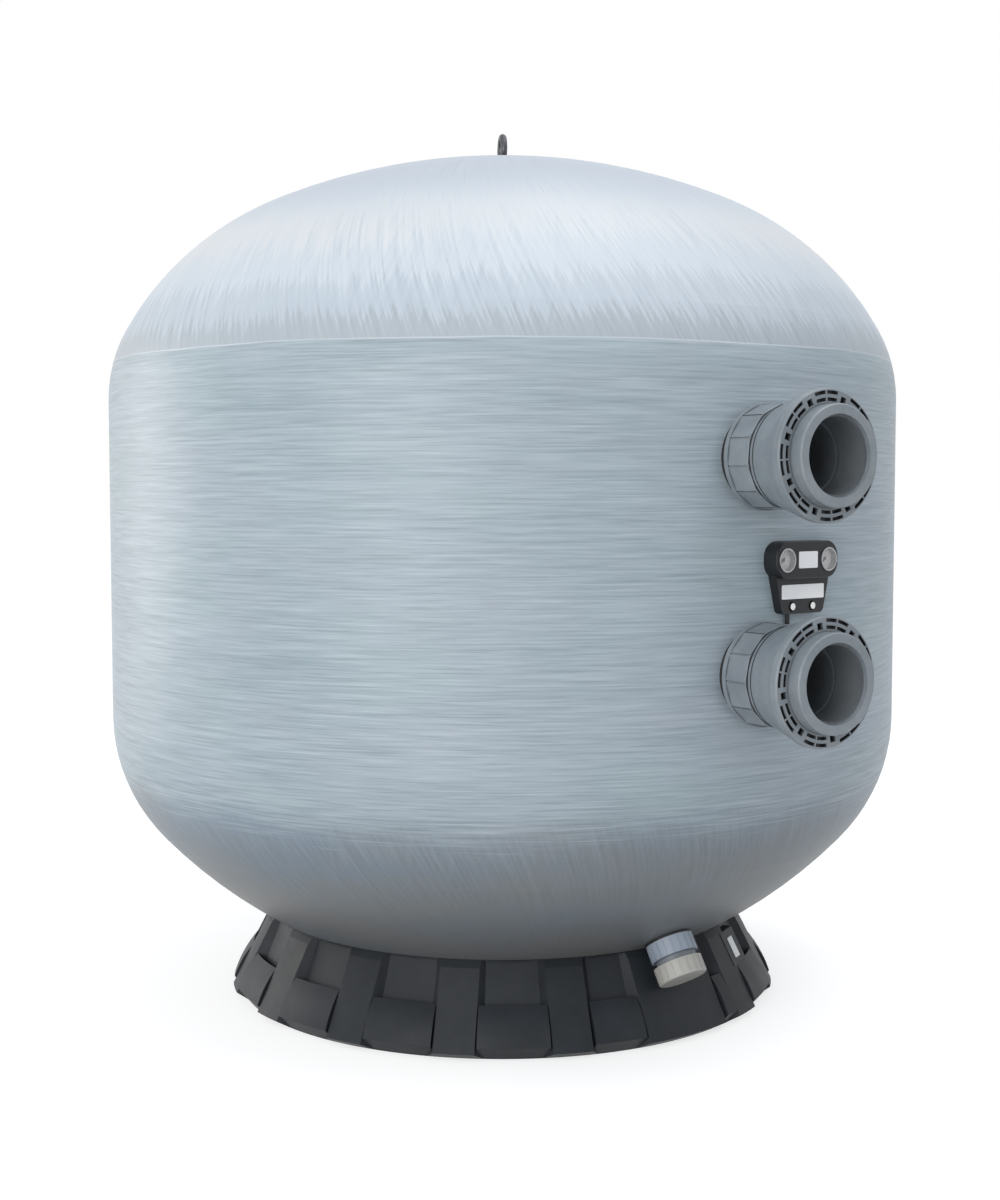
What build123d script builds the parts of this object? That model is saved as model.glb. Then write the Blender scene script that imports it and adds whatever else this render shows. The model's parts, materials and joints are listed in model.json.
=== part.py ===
from build123d import *

import os
from math import asin, atan2, cos, degrees, radians, sin, sqrt

# The tank's axis stands on +Z with the floor at zero, and the two pipe unions face -Y.
# All sizes are in millimetres, and all round sizes are radii unless they say otherwise.

# Wound tank
tank_radius = 693.0
tank_wall = 9.0
lower_tangent = 502.0
lower_knuckle = 295.0
lower_crown = 837.0
upper_tangent = 1047.0
upper_knuckle = 245.0
upper_knuckle_angle = 29.3
upper_shoulder = 512.0
upper_crown = 1053.0

# Moulded skirt under the tank
skirt_top_height = 133.0
skirt_top_radius = 427.0
skirt_cradle_height = 12.0
skirt_cradle_set_back = 9.0
rib_foot_height = 12.0
rib_foot_radius = 489.0
skirt_foot_radius = 468.0
skirt_foot_width = 16.0
skirt_wall = 8.0
skirt_ribs = 16
skirt_phase = 2.9
rib_face_angle = 6.6
rib_side_angle = 2.1
recess_top_set_back = 14.0
recess_foot_set_back = 27.0
recess_mouth_stand_off = 4.0
recess_foot_height = -1.0
lip_radius = 487.0
lip_height = 22.0
flare_radius = 471.0
flare_height = 56.0
flare_top_height = 108.0
seat_inner_radius = 345.0
seat_thickness = 18.0
drain_box_angle = 20.0
drain_box_middle = 6.5

# Through-wall pipe unions for 110 mm pipe
inlet_height = 942.0
outlet_height = 622.0
nozzle_bore = 50.0
nozzle_radius = 62.0
nozzle_flange_radius = 82.0
nozzle_flange_thickness = 12.0
inner_gasket_thickness = 8.0
outer_gasket_thickness = 14.0
outer_gasket_radius = 68.0
inlet_nut_turn = 10.0
outlet_nut_turn = 3.0
inlet_union_turn = 26.7
outlet_union_turn = 9.5
bulkhead_nut_radius = 78.0
bulkhead_nut_length = 50.0
bulkhead_nut_rim = 8.0
bulkhead_nut_sides = 12
bulkhead_groove_width = 2.8
bulkhead_groove_depth = 1.5
union_gap = 2.0
union_small_radius = 74.0
union_collar_length = 7.0
union_groove_width = 2.5
union_groove_depth = 1.4
union_radius = 95.0
union_length = 83.0
union_rim_length = 12.0
union_cells = 24
cell_row_inner = 76.5
cell_row_outer = 86.5
cell_row_width = 5.0
cell_rib = 2.5
cell_depth = 8.0
spanner_notches = 8
spanner_notch_size = 10.0
spanner_notch_depth = 15.0
seat_radius = 70.0
seat_length = 12.0
seal_section = 2.5
seal_radius = 66.0
pipe_socket_bore = 55.15
pipe_socket_depth = 61.0
pipe_socket_radius = 73.0
pipe_socket_reach = 22.0
pipe_stop_thickness = 6.0
pipe_lead_in_radius = 58.5
pipe_lead_in_depth = 8.0
edge_chamfer = 2.0

# Clearances
thread_clearance = 0.3
turning_clearance = 0.3
hole_clearance = 0.4
spindle_clearance = 0.05

# Gauge panel
panel_angle = 6.8
gauge_height = 790.0
gauge_spacing = 94.0
panel_width = 139.0
panel_lobe_height = 56.0
panel_lobe_corner = 24.0
panel_lobe_reach = 23.0
panel_base_reach = 13.0
panel_waist_width = 124.0
panel_waist_drop = 16.0
panel_foot_width = 92.0
panel_foot_drop = 81.0
panel_corner = 10.0
panel_edge_round = 2.5
gauge_case_radius = 18.0
gauge_case_depth = 14.0
gauge_case_wall = 2.2
gauge_floor = 3.0
gauge_proud = 1.5
dial_thickness = 0.8
needle_length = 12.0
needle_tail = 4.0
needle_thickness = 0.8
needle_hub_radius = 2.2
needle_hub_height = 1.6
needle_zero_angle = 225.0
lens_thickness = 1.6
upper_label_width = 42.0
upper_label_height = 25.0
lower_label_width = 95.0
lower_label_height = 21.5
lower_label_drop = 48.0
label_thickness = 0.8
label_corner = 2.0

# Purge taps in the panel
tap_spacing = 45.5
tap_shift = -1.5
tap_drop = 70.0
tap_pocket_radius = 7.5
tap_pocket_depth = 5.0
tap_stem_radius = 5.5
tap_boss_radius = 4.5
tap_boss_length = 1.0
tap_spindle_radius = 2.0
tap_spindle_length = 4.0
tap_knob_radius = 5.4
tap_knob_length = 6.0
tap_knob_flutes = 10
tap_flute_radius = 0.9
tap_nut_radius = 11.0
tap_nut_length = 10.0
tap_stem_tail = 6.0
spout_radius = 3.4
spout_bore = 1.8
spout_drop = 16.0
spout_cover = 0.5

# Lifting eye at the top
eye_ring_radius = 21.0
eye_section = 6.0
eye_height = 55.0
eye_collar_radius = 15.0
eye_collar_height = 7.0
eye_neck_radius = 8.5
eye_shank_radius = 6.0
eye_shank_length = 26.0
eye_turn = -25.0
insert_radius = 14.0
insert_flange_radius = 24.0
insert_flange_thickness = 8.0
insert_length = 30.0

# Drain under the unions
drain_angle = 3.5
drain_slope = 57.2
drain_bore = 24.0
drain_nozzle_radius = 30.0
drain_neck_radius = 33.0
drain_flange_radius = 44.0
drain_flange_thickness = 8.0
drain_gasket_thickness = 4.0
drain_nut_radius = 39.5
drain_nut_length = 28.0
drain_neck_length = 10.0
drain_cap_radius = 40.5
drain_cap_length = 28.0
drain_cap_floor = 8.0
drain_seal_thickness = 2.0
drain_grip_count = 20
drain_grip_depth = 1.2
drain_grip_width = 3.0
drain_room = 4.5

# Blank plate on the skirt
skirt_label_angle = 32.0
skirt_label_height = 105.0
skirt_label_width = 22.0
skirt_label_length = 36.0
label_pad_width = 62.0
label_pad_foot_height = 80.0

# Bolted manhole at the back
manhole_height = 758.0
manhole_side = 180.0
manhole_radius = 200.0
manhole_neck_wall = 12.0
manhole_flange_radius = 265.0
manhole_flange_thickness = 18.0
manhole_reach = 60.0
manhole_gasket_thickness = 4.0
manhole_gasket_width = 26.0
manhole_lid_thickness = 20.0
manhole_lid_crown = 12.0
manhole_lid_slope = 30.0
manhole_bolts_count = 12
manhole_bolt_circle = 244.0
manhole_bolt_radius = 6.0
manhole_bolt_head_radius = 10.5
manhole_bolt_head_height = 7.5
manhole_washer_radius = 12.0
manhole_washer_thickness = 2.5
manhole_nut_height = 10.0
manhole_bolt_tail = 4.0

# Pipework inside the tank
inner_pipe_radius = 55.0
inner_pipe_wall = 5.0
inner_bend_radius = 150.0
diffuser_mouth_height = 1298.0
diffuser_radius = 130.0
diffuser_gap = 45.0
diffuser_wall = 5.0
diffuser_posts = 6
diffuser_post_radius = 6.0
hub_radius = 90.0
hub_height = 110.0
hub_floor_height = 293.0
hub_wall = 8.0
lateral_count = 12
lateral_radius = 16.0
lateral_wall = 3.0
lateral_reach = 540.0
lateral_slots = 8
lateral_slot_width = 3.0
air_tube_radius = 5.0
air_tube_wall = 1.5
air_tube_stand_off = 18.0
air_tube_start_radius = 160.0
air_tube_bend_radius = 30.0
air_tube_side_room = 50.0
air_tube_shoulder_room = 60.0
air_tube_shoulder_angle = 50.0

os.makedirs("parts", exist_ok=True)

# Heights and distances that follow from the sizes above


def turn_centre(knuckle, shoulder, angle):
    """Centre of a dome's second turn: distance from the axis, and height past the tangent line."""
    distance = tank_radius - knuckle + (knuckle - shoulder) * cos(radians(angle))
    rise = (knuckle - shoulder) * sin(radians(angle))
    return distance, rise


def crown_angle(crown, shoulder, distance):
    """Angle between a dome's axis and the place where its crown meets the turn beside it."""
    return degrees(asin(distance / (crown - shoulder)))


lower_turn_distance = tank_radius - lower_knuckle
lower_crown_angle = crown_angle(lower_crown, lower_knuckle, lower_turn_distance)
lower_centre_height = lower_tangent + sqrt((lower_crown - lower_knuckle) ** 2 - lower_turn_distance ** 2)
pole_height = lower_centre_height - lower_crown
upper_turn_distance, upper_turn_rise = turn_centre(upper_knuckle, upper_shoulder, upper_knuckle_angle)
upper_crown_angle = crown_angle(upper_crown, upper_shoulder, upper_turn_distance)
upper_centre_height = upper_tangent + upper_turn_rise - sqrt(
    (upper_crown - upper_shoulder) ** 2 - upper_turn_distance ** 2)
apex_height = upper_centre_height + upper_crown

bulkhead_nut_start = tank_radius + outer_gasket_thickness
bulkhead_nut_end = bulkhead_nut_start + bulkhead_nut_length
union_start = bulkhead_nut_end + union_gap
union_face = union_start + union_length
pipe_socket_face = union_face + pipe_socket_reach
pipe_stop_face = pipe_socket_face - pipe_socket_depth
seat_face = pipe_stop_face - pipe_stop_thickness
seat_start = seat_face - seat_length
nozzle_flange_face = tank_radius - tank_wall - inner_gasket_thickness
nozzle_back = nozzle_flange_face - nozzle_flange_thickness

panel_base_front = tank_radius + panel_base_reach
panel_lobe_front = tank_radius + panel_lobe_reach
gauge_case_front = panel_lobe_front + gauge_proud
gauge_case_back = gauge_case_front - gauge_case_depth
tap_pocket_floor = panel_base_front - tap_pocket_depth
tap_boss_front = tap_pocket_floor + tap_boss_length

manhole_flange_face = tank_radius + manhole_reach
manhole_flange_back = manhole_flange_face - manhole_flange_thickness
manhole_lid_back = manhole_flange_face + manhole_gasket_thickness
manhole_lid_front = manhole_lid_back + manhole_lid_thickness


def write_piece(builder, name):
    """Name a finished piece and write it."""
    builder.part.label = name
    export_step(builder.part, f"parts/{name}.step")


def side_direction(angle):
    """Level direction at an angle from the unions' side, turned towards +X."""
    return Vector(sin(radians(angle)), -cos(radians(angle)), 0)


def across_plane(height, distance, angle=0.0):
    """Plane facing outwards at a distance from the tank's axis, its second axis upright."""
    outward = side_direction(angle)
    tangent = (cos(radians(angle)), sin(radians(angle)), 0)
    origin = outward * distance + Vector(0, 0, height)
    return Plane(origin=origin, x_dir=tangent, z_dir=outward)


def along_plane(height, angle=0.0):
    """Upright plane through the tank's axis: first coordinate outwards, second upwards."""
    outward = side_direction(angle)
    across = (-cos(radians(angle)), -sin(radians(angle)), 0)
    return Plane(origin=(0, 0, height), x_dir=outward, z_dir=across)


def side_axis(height, angle=0.0):
    """Level axis that leaves the tank at an angle."""
    return Axis((0, 0, height), side_direction(angle))


# Wound tank


def vessel(inset):
    """The tank's round body, with its surface set in from the outside."""
    low_turn_angle = 90 - lower_crown_angle
    shoulder_angle = 90 - upper_knuckle_angle - upper_crown_angle
    with BuildPart() as body:
        with BuildSketch(Plane.XZ):
            with BuildLine():
                low_crown = JernArc((0, pole_height + inset), (1, 0), lower_crown - inset, lower_crown_angle)
                low_turn = JernArc(low_crown @ 1, low_crown % 1, lower_knuckle - inset, low_turn_angle)
                side = Line(low_turn @ 1, (tank_radius - inset, upper_tangent))
                high_turn = JernArc(side @ 1, (0, 1), upper_knuckle - inset, upper_knuckle_angle)
                shoulder = JernArc(high_turn @ 1, high_turn % 1, upper_shoulder - inset, shoulder_angle)
                high_crown = JernArc(shoulder @ 1, shoulder % 1, upper_crown - inset, upper_crown_angle)
                Line(high_crown @ 1, low_crown @ 0)
            make_face()
        revolve(axis=Axis.Z)
    return body.part


outer_vessel = vessel(0)
inner_vessel = vessel(tank_wall)


def drain_plane(distance):
    """Plane facing along the drain, at a distance out from the tank's skin."""
    level = side_direction(drain_angle)
    slope = radians(drain_slope)
    outward = level * cos(slope) + Vector(0, 0, -sin(slope))
    origin = Vector(0, 0, lower_centre_height) + outward * (lower_crown + distance)
    tangent = (cos(radians(drain_angle)), sin(radians(drain_angle)), 0)
    return Plane(origin=origin, x_dir=tangent, z_dir=outward)


def bored(plane, start, radius, length):
    """A round cutter that starts behind a plane and runs out of it."""
    with BuildPart() as cutter:
        with BuildSketch(plane.offset(start)):
            Circle(radius)
        extrude(amount=length)
    return cutter.part


tap_lateral = {"water": tap_shift - tap_spacing / 2, "air": tap_shift + tap_spacing / 2}

with BuildPart() as tank_shell:
    add(outer_vessel)
    with BuildSketch(across_plane(manhole_height, manhole_flange_face, manhole_side)):
        Circle(manhole_radius + manhole_neck_wall)
    extrude(amount=-tank_radius / 2)
    with BuildSketch(across_plane(manhole_height, manhole_flange_face, manhole_side)):
        Circle(manhole_flange_radius)
    extrude(amount=-manhole_flange_thickness)
    add(inner_vessel, mode=Mode.SUBTRACT)
    with BuildSketch(across_plane(manhole_height, manhole_flange_face, manhole_side)):
        Circle(manhole_radius)
    extrude(amount=-tank_radius / 2, mode=Mode.SUBTRACT)
    with BuildSketch(across_plane(manhole_height, manhole_flange_face, manhole_side)):
        with PolarLocations(manhole_bolt_circle, manhole_bolts_count):
            Circle(manhole_bolt_radius + hole_clearance)
    extrude(amount=-manhole_flange_thickness, mode=Mode.SUBTRACT)
    for port_height in (inlet_height, outlet_height):
        with BuildSketch(across_plane(port_height, tank_radius / 2)):
            Circle(nozzle_radius + hole_clearance)
        extrude(amount=tank_radius, mode=Mode.SUBTRACT)
    with BuildSketch(across_plane(gauge_height - tap_drop, tank_radius / 2, panel_angle)):
        with Locations(*[(place, 0) for place in tap_lateral.values()]):
            Circle(tap_stem_radius + hole_clearance)
    extrude(amount=tank_radius, mode=Mode.SUBTRACT)
    add(bored(drain_plane(0), -lower_crown / 4, drain_nozzle_radius + hole_clearance, lower_crown / 2),
        mode=Mode.SUBTRACT)
    with BuildSketch(Plane.XY.offset(upper_tangent)):
        Circle(insert_radius)
    extrude(amount=tank_radius, mode=Mode.SUBTRACT)
write_piece(tank_shell, "tank_shell")


# Skirt


def skirt_outer_radius(height):
    """Radius of a rib's outer face at a height."""
    share = (height - rib_foot_height) / (skirt_top_height - rib_foot_height)
    return rib_foot_radius + (skirt_top_radius - rib_foot_radius) * share


def skirt_recess_radius(height):
    """Radius of the recessed panels at a height."""
    narrowing = (recess_foot_set_back - recess_top_set_back) * height / skirt_top_height
    return skirt_outer_radius(height) - recess_foot_set_back + narrowing


def lower_surface(radius):
    """Height of the tank's underside at a distance from its axis."""
    return lower_centre_height - sqrt(lower_crown ** 2 - radius ** 2)


def slope_plane(radius_at, angle, stand_off):
    """Plane along a sloping face of the skirt, its origin at the recesses' foot."""
    foot = radius_at(recess_foot_height) + stand_off
    rise = skirt_top_height - recess_foot_height
    lean = atan2(radius_at(recess_foot_height) - radius_at(skirt_top_height), rise)
    level = side_direction(angle)
    outward = level * cos(lean) + Vector(0, 0, sin(lean))
    tangent = (cos(radians(angle)), sin(radians(angle)), 0)
    return Plane(origin=level * foot + Vector(0, 0, recess_foot_height), x_dir=tangent, z_dir=outward)


def recess_outline(radius_at, half_angle, stand_off):
    """Corners of a recess on its sloping plane, open at the top of the skirt."""
    above = 1.2 * skirt_top_height
    foot_half = (radius_at(recess_foot_height) + stand_off) * sin(radians(half_angle))
    top_half = (radius_at(above) + stand_off) * sin(radians(half_angle))
    return [(-foot_half, 0), (foot_half, 0), (top_half, above), (-top_half, above)]


def recess(angle, half_angle):
    """A recess between two ribs, narrower at its floor than at its mouth."""
    mouth = recess_outline(skirt_outer_radius, half_angle + rib_side_angle, recess_mouth_stand_off)
    with BuildPart() as cutter:
        with BuildSketch(slope_plane(skirt_outer_radius, angle, recess_mouth_stand_off)):
            Polygon(*mouth, align=None)
        with BuildSketch(slope_plane(skirt_recess_radius, angle, 0)):
            Polygon(*recess_outline(skirt_recess_radius, half_angle, 0), align=None)
        loft(ruled=True)
    return cutter.part


def flared_lip(angle, half_angle):
    """The foot of a recess, which bulges out past the ribs to a lip and is cut under it."""
    back = skirt_foot_radius - skirt_foot_width
    floor_radius = skirt_recess_radius(flare_top_height) - skirt_wall / 2
    lip_edge = (lip_radius, lip_height)
    with BuildPart() as lip:
        with BuildSketch(along_plane(0, angle - half_angle)):
            with BuildLine():
                Polyline((back, flare_top_height), (back, 0), (skirt_foot_radius, 0), lip_edge)
                ThreePointArc(lip_edge, (flare_radius, flare_height), (floor_radius, flare_top_height))
                Line((floor_radius, flare_top_height), (back, flare_top_height))
            make_face()
        revolve(axis=Axis.Z, revolution_arc=2 * half_angle)
    return lip.part


def rib_hollow(angle, width):
    """The space inside a hollow rib, open at the foot."""
    top = skirt_top_height - seat_thickness
    bend = rib_foot_height + skirt_wall
    with BuildPart() as cutter:
        with BuildSketch(along_plane(0, angle)):
            Polygon(
                (skirt_recess_radius(0) - 3 * skirt_wall, -1),
                (skirt_foot_radius - skirt_wall, -1),
                (skirt_outer_radius(bend) - skirt_wall, bend),
                (skirt_outer_radius(top) - skirt_wall, top),
                (skirt_recess_radius(top) - 2 * skirt_wall, top),
                align=None,
            )
        extrude(amount=width / 2, both=True)
    return cutter.part


def recess_between(left_edge, right_edge):
    """Middle and half angle of the recess floor between two ribs' facing edges."""
    return (left_edge + right_edge) / 2, (right_edge - left_edge) / 2 - rib_side_angle


rib_pitch = 360.0 / skirt_ribs
rib_width = 2 * skirt_recess_radius(0) * sin(radians(rib_face_angle / 2)) - skirt_wall
drain_reach = drain_gasket_thickness + drain_nut_length + drain_neck_length + drain_cap_length
drain_room_length = drain_reach + drain_gasket_thickness + drain_room
underside_radius = skirt_foot_radius - skirt_foot_width

with BuildPart() as base_skirt:
    with BuildSketch(Plane.XZ):
        Polygon(
            (seat_inner_radius, lower_surface(seat_inner_radius) - seat_thickness),
            (underside_radius, 0),
            (skirt_foot_radius, 0),
            (rib_foot_radius, rib_foot_height),
            (skirt_top_radius, skirt_top_height),
            (skirt_top_radius - skirt_cradle_set_back, skirt_top_height + skirt_cradle_height),
            (seat_inner_radius, skirt_top_height + skirt_cradle_height),
            align=None,
        )
    revolve(axis=Axis.Z)
    with BuildSketch(Plane.XZ):
        Polygon(
            (0, -1),
            (underside_radius, -1),
            (skirt_recess_radius(skirt_top_height) - skirt_wall, skirt_top_height - seat_thickness),
            (seat_inner_radius, lower_surface(seat_inner_radius) - seat_thickness),
            (0, lower_surface(seat_inner_radius) - seat_thickness),
            align=None,
        )
    revolve(axis=Axis.Z, mode=Mode.SUBTRACT)
    for index in range(skirt_ribs):
        rib_angle = skirt_phase + index * rib_pitch
        left_edge = rib_angle + rib_face_angle / 2
        right_edge = rib_angle + rib_pitch - rib_face_angle / 2
        if index == 0:
            left_edge = drain_box_middle + drain_box_angle / 2
        if index == skirt_ribs - 1:
            right_edge = 360 + drain_box_middle - drain_box_angle / 2
        middle, half_angle = recess_between(left_edge, right_edge)
        add(recess(middle, half_angle), mode=Mode.SUBTRACT)
        add(flared_lip(middle, half_angle + rib_side_angle / 2))
    for index in range(1, skirt_ribs):
        add(rib_hollow(skirt_phase + index * rib_pitch, rib_width), mode=Mode.SUBTRACT)
    with BuildSketch(along_plane(0, skirt_label_angle)):
        Polygon(
            (skirt_recess_radius(label_pad_foot_height) - skirt_wall / 2, label_pad_foot_height),
            (skirt_outer_radius(label_pad_foot_height), label_pad_foot_height),
            (skirt_top_radius, skirt_top_height),
            (skirt_recess_radius(skirt_top_height) - skirt_wall / 2, skirt_top_height),
            align=None,
        )
    extrude(amount=label_pad_width / 2, both=True)
    add(bored(drain_plane(0), -drain_gasket_thickness, drain_cap_radius + drain_room, drain_room_length),
        mode=Mode.SUBTRACT)
    add(outer_vessel, mode=Mode.SUBTRACT)
write_piece(base_skirt, "base_skirt")


# Blank plate on the skirt

plate_plane = slope_plane(skirt_outer_radius, skirt_label_angle, 0)
plate_rise = (skirt_label_height - recess_foot_height) / plate_plane.y_dir.Z
with BuildPart() as skirt_label:
    with BuildSketch(plate_plane):
        with Locations((0, plate_rise)):
            RectangleRounded(skirt_label_width, skirt_label_length, label_corner)
    extrude(amount=label_thickness)
write_piece(skirt_label, "skirt_label")


# Pipe unions


def turned(plane, axis, outline):
    """A turned piece from an outline of (distance out, radius) corners."""
    with BuildPart() as piece:
        with BuildSketch(plane):
            Polygon(*outline, align=None)
        revolve(axis=axis)
    return piece.part


def wall_ring(height, inner, outer, start, end):
    """A flat ring round a union's axis."""
    with BuildPart() as piece:
        with BuildSketch(across_plane(height, start)):
            Circle(outer)
            Circle(inner, mode=Mode.SUBTRACT)
        extrude(amount=end - start)
    return piece.part


def make_nozzle(name, height):
    """Through-wall nozzle with its flange inside the tank."""
    outline = [
        (nozzle_back, nozzle_bore),
        (nozzle_back, nozzle_flange_radius),
        (nozzle_flange_face, nozzle_flange_radius),
        (nozzle_flange_face, nozzle_radius),
        (seat_face, nozzle_radius),
        (seat_face, nozzle_bore),
    ]
    with BuildPart() as nozzle:
        add(turned(along_plane(height), side_axis(height), outline))
    write_piece(nozzle, name + "_nozzle")


def make_wall_gaskets(name, height):
    """Gaskets on both faces of the wall, shaped to the round tank."""
    gasket_bore = nozzle_radius + hole_clearance
    with BuildPart() as inner_gasket:
        add(wall_ring(height, gasket_bore, nozzle_flange_radius, nozzle_flange_face, tank_radius))
        add(inner_vessel, mode=Mode.INTERSECT)
    write_piece(inner_gasket, name + "_inner_gasket")
    with BuildPart() as outer_gasket:
        add(wall_ring(height, gasket_bore, outer_gasket_radius, nozzle_flange_face, bulkhead_nut_start))
        add(outer_vessel, mode=Mode.SUBTRACT)
    write_piece(outer_gasket, name + "_outer_gasket")


def make_bulkhead_nut(name, height, turn):
    """Nut that clamps the nozzle to the wall, with flat sides and a groove at each corner."""
    grip_start = bulkhead_nut_start + bulkhead_nut_rim
    grip_length = bulkhead_nut_length - bulkhead_nut_rim
    with BuildPart() as bulkhead_nut:
        with BuildSketch(across_plane(height, bulkhead_nut_start)):
            Circle(bulkhead_nut_radius)
        extrude(amount=bulkhead_nut_rim)
        with BuildSketch(across_plane(height, grip_start)):
            RegularPolygon(bulkhead_nut_radius, bulkhead_nut_sides, rotation=turn)
        extrude(amount=grip_length)
        with BuildSketch(across_plane(height, grip_start)):
            with PolarLocations(bulkhead_nut_radius, bulkhead_nut_sides, start_angle=turn):
                Rectangle(2 * bulkhead_groove_depth, bulkhead_groove_width)
        extrude(amount=grip_length, mode=Mode.SUBTRACT)
        with BuildSketch(across_plane(height, bulkhead_nut_start)):
            Circle(nozzle_radius)
        extrude(amount=bulkhead_nut_length, mode=Mode.SUBTRACT)
        front_rim = bulkhead_nut.edges().filter_by(GeomType.LINE).group_by(Axis.Y)[0]
        chamfer(front_rim, length=bulkhead_groove_depth / 2)
    write_piece(bulkhead_nut, name + "_bulkhead_nut")


def make_union_seat(name, height):
    """Collar fixed on the nozzle's end, which holds the union nut back and carries the seal."""
    groove_half = seal_section + hole_clearance / 2
    outline = [
        (seat_start, nozzle_radius),
        (seat_start, seat_radius + thread_clearance * 2),
        (seat_face, seat_radius + thread_clearance * 2),
        (seat_face, seal_radius + groove_half),
        (seat_face - 2 * seal_section, seal_radius + groove_half),
        (seat_face - 2 * seal_section, seal_radius - groove_half),
        (seat_face, seal_radius - groove_half),
        (seat_face, nozzle_radius),
    ]
    with BuildPart() as union_seat:
        add(turned(along_plane(height), side_axis(height), outline))
    write_piece(union_seat, name + "_union_seat")
    with BuildPart() as seal_ring:
        with BuildSketch(along_plane(height)):
            with Locations((seat_face - seal_section, seal_radius)):
                Circle(seal_section)
        revolve(axis=side_axis(height))
    write_piece(seal_ring, name + "_seal_ring")


def cell_row(inner, turn):
    """One row of cored cells in the union nut's face, left out where the spanner notches are."""
    cell_angle = 360.0 / union_cells
    middle = inner + cell_row_width / 2
    blank = 2 * middle * sin(radians(cell_angle / 2)) + cell_rib
    with BuildSketch(Plane.XY) as row:
        Circle(inner + cell_row_width)
        Circle(inner, mode=Mode.SUBTRACT)
        with PolarLocations(middle, union_cells, start_angle=turn + cell_angle / 2):
            Rectangle(2 * cell_row_width, cell_rib, mode=Mode.SUBTRACT)
        with PolarLocations(middle, spanner_notches, start_angle=turn):
            Rectangle(2 * cell_row_width, blank, mode=Mode.SUBTRACT)
    return row.sketch


def make_union_nut(name, height, turn):
    """Union nut: a cone that widens to a rim with cored cells and spanner notches in its face."""
    rim_start = union_face - union_rim_length
    groove_start = union_start + union_collar_length
    groove_end = groove_start + union_groove_width
    lip_end = seat_start - turning_clearance
    nut_bore = pipe_socket_radius + thread_clearance
    seat_room = seat_radius + 3 * thread_clearance
    outline = [
        (union_start, nozzle_radius + turning_clearance),
        (union_start, union_small_radius),
        (groove_start, union_small_radius + edge_chamfer),
        (groove_start, union_small_radius + edge_chamfer - union_groove_depth),
        (groove_end, union_small_radius + edge_chamfer - union_groove_depth),
        (groove_end, union_small_radius + edge_chamfer),
        (rim_start, union_radius),
        (union_face - edge_chamfer, union_radius),
        (union_face, union_radius - edge_chamfer),
        (union_face, nut_bore),
        (seat_face - turning_clearance, nut_bore),
        (seat_face - turning_clearance, seat_room),
        (lip_end, seat_room),
        (lip_end, nozzle_radius + turning_clearance),
    ]
    notch_middle = cell_row_inner + spanner_notch_size / 2
    with BuildPart() as union_nut:
        add(turned(along_plane(height), side_axis(height), outline))
        with BuildSketch(across_plane(height, union_face)):
            add(cell_row(cell_row_inner, turn))
            add(cell_row(cell_row_outer, turn))
        extrude(amount=-cell_depth, mode=Mode.SUBTRACT)
        with BuildSketch(across_plane(height, union_face)):
            with PolarLocations(notch_middle, spanner_notches, start_angle=turn):
                Rectangle(spanner_notch_size, spanner_notch_size)
        extrude(amount=-spanner_notch_depth, mode=Mode.SUBTRACT)
    write_piece(union_nut, name + "_union_nut")


def make_pipe_socket(name, height):
    """Loose end of the union, with the socket that a pipe is glued into."""
    outline = [
        (seat_face, nozzle_bore),
        (pipe_stop_face, nozzle_bore),
        (pipe_stop_face, pipe_socket_bore),
        (pipe_socket_face - pipe_lead_in_depth, pipe_socket_bore),
        (pipe_socket_face - pipe_lead_in_depth, pipe_lead_in_radius),
        (pipe_socket_face, pipe_lead_in_radius),
        (pipe_socket_face, pipe_socket_radius - edge_chamfer),
        (pipe_socket_face - edge_chamfer, pipe_socket_radius),
        (seat_face, pipe_socket_radius),
    ]
    with BuildPart() as pipe_socket:
        add(turned(along_plane(height), side_axis(height), outline))
    write_piece(pipe_socket, name + "_pipe_socket")


for port_name, port_height, nut_turn, union_turn in (
    ("inlet", inlet_height, inlet_nut_turn, inlet_union_turn),
    ("outlet", outlet_height, outlet_nut_turn, outlet_union_turn),
):
    make_nozzle(port_name, port_height)
    make_wall_gaskets(port_name, port_height)
    make_bulkhead_nut(port_name, port_height, nut_turn)
    make_union_seat(port_name, port_height)
    make_union_nut(port_name, port_height, union_turn)
    make_pipe_socket(port_name, port_height)


# Gauge panel


def panel_plane(distance):
    """Plane across the panel at a distance from the tank's axis, centred between the gauges."""
    return across_plane(gauge_height, distance, panel_angle)


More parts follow.
